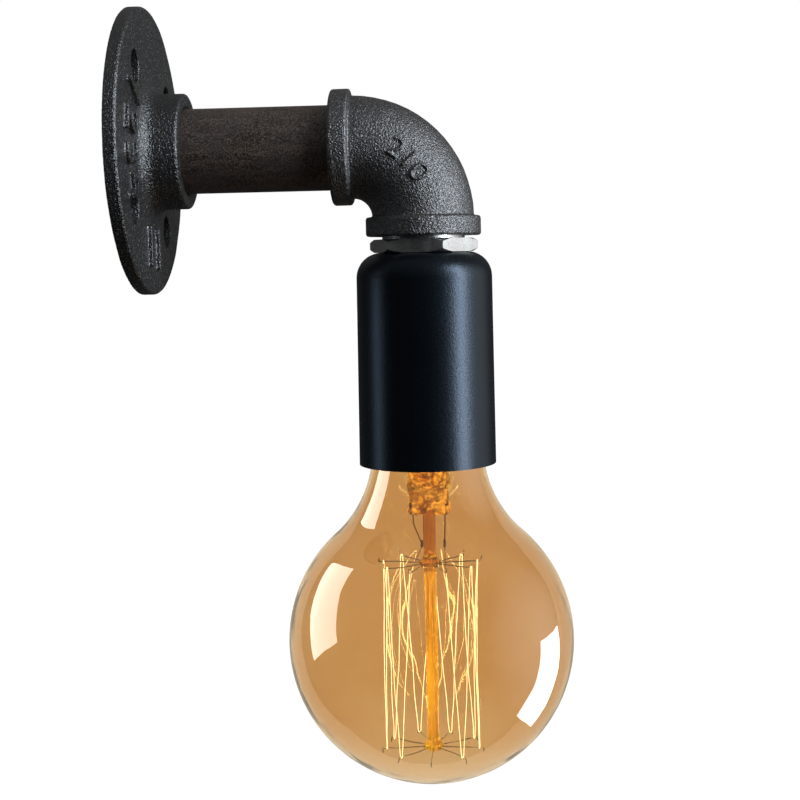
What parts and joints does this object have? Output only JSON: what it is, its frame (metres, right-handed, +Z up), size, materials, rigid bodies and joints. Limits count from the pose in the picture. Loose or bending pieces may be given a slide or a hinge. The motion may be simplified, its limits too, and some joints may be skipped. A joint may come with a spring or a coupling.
{
  "type": "pipe wall light",
  "caption": "Wall light on a pipe arm: round flange, short pipe, banded elbow and hexagon plug carry a cup over a screw lampholder with a globe bulb.",
  "frame": {"origin": "centre of the flange's back face, in the wall plane, on the pipe axis", "axes": "+X away from the wall along the pipe, +Z up, so the bulb hangs towards -Z, +Y to the wall's side"},
  "size_m": [0.1375, 0.093, 0.2515],
  "materials": {
    "iron": "matt, fine cast grain",
    "pipe": "dark brown mottled mill finish, satin",
    "plated_steel": "zinc plated, satin",
    "black_coat": "black powder coat, satin",
    "porcelain": "white glaze",
    "brass": "plain",
    "sheath": "matt",
    "live_cover": "matt",
    "neutral_cover": "matt",
    "earth_cover": "matt",
    "dark_glass": "gloss",
    "cement": "matt",
    "amber_glass": "clear amber",
    "clear_glass": "clear",
    "wire": "dark",
    "glow": "glowing, emissive"
  },
  "bodies": {
    "wall_side": {"wall_flange": "iron", "pipe_nipple": "pipe"},
    "drop_side": {"elbow": "iron", "hex_plug": "plated_steel", "threaded_tube": "plated_steel", "cover_cup": "black_coat", "cup_washer": "plated_steel", "cup_nut": "plated_steel", "holder_bracket": "plated_steel", "grub_screw": "plated_steel", "bracket_screws": "plated_steel", "earth_screw": "plated_steel", "holder_body": "porcelain", "screw_shell": "brass", "centre_contact": "brass", "live_rivet": "brass", "neutral_rivet": "brass", "live_terminal": "brass", "neutral_terminal": "brass", "terminal_screws": "plated_steel", "flex_sheath": "sheath", "live_core": "live_cover", "neutral_core": "neutral_cover", "earth_core": "earth_cover"},
    "bulb_rise": {"foot_contact": "brass"},
    "bulb": {"bulb_cap": "brass", "cap_insulator": "dark_glass", "basing_cement": "cement", "glass_envelope": "amber_glass", "glass_stem": "clear_glass", "support_rod": "clear_glass", "lead_wires": "wire", "upper_supports": "wire", "lower_supports": "wire", "filament": "glow"}
  },
  "joints": [
    {"name": "elbow_swivel", "type": "hinge", "parent": "wall_side", "child": "drop_side", "pos_m": [0.068, 0, 0], "axis": [1, 0, 0], "range_deg": [-90, 90]},
    {"name": "bulb_travel", "type": "slide", "parent": "drop_side", "child": "bulb_rise", "axis": [0, 0, -1], "range_m": [0, 0.01815]},
    {"name": "bulb_turn", "type": "hinge", "parent": "bulb_rise", "child": "bulb", "pos_m": [0.091, 0, -0.159], "axis": [0, 0, -1], "range_deg": [0, 1800]}
  ],
  "couplings": [
    {"joint": "bulb_travel", "follows": "bulb_turn", "m_per_rad": 0.00057757}
  ]
}
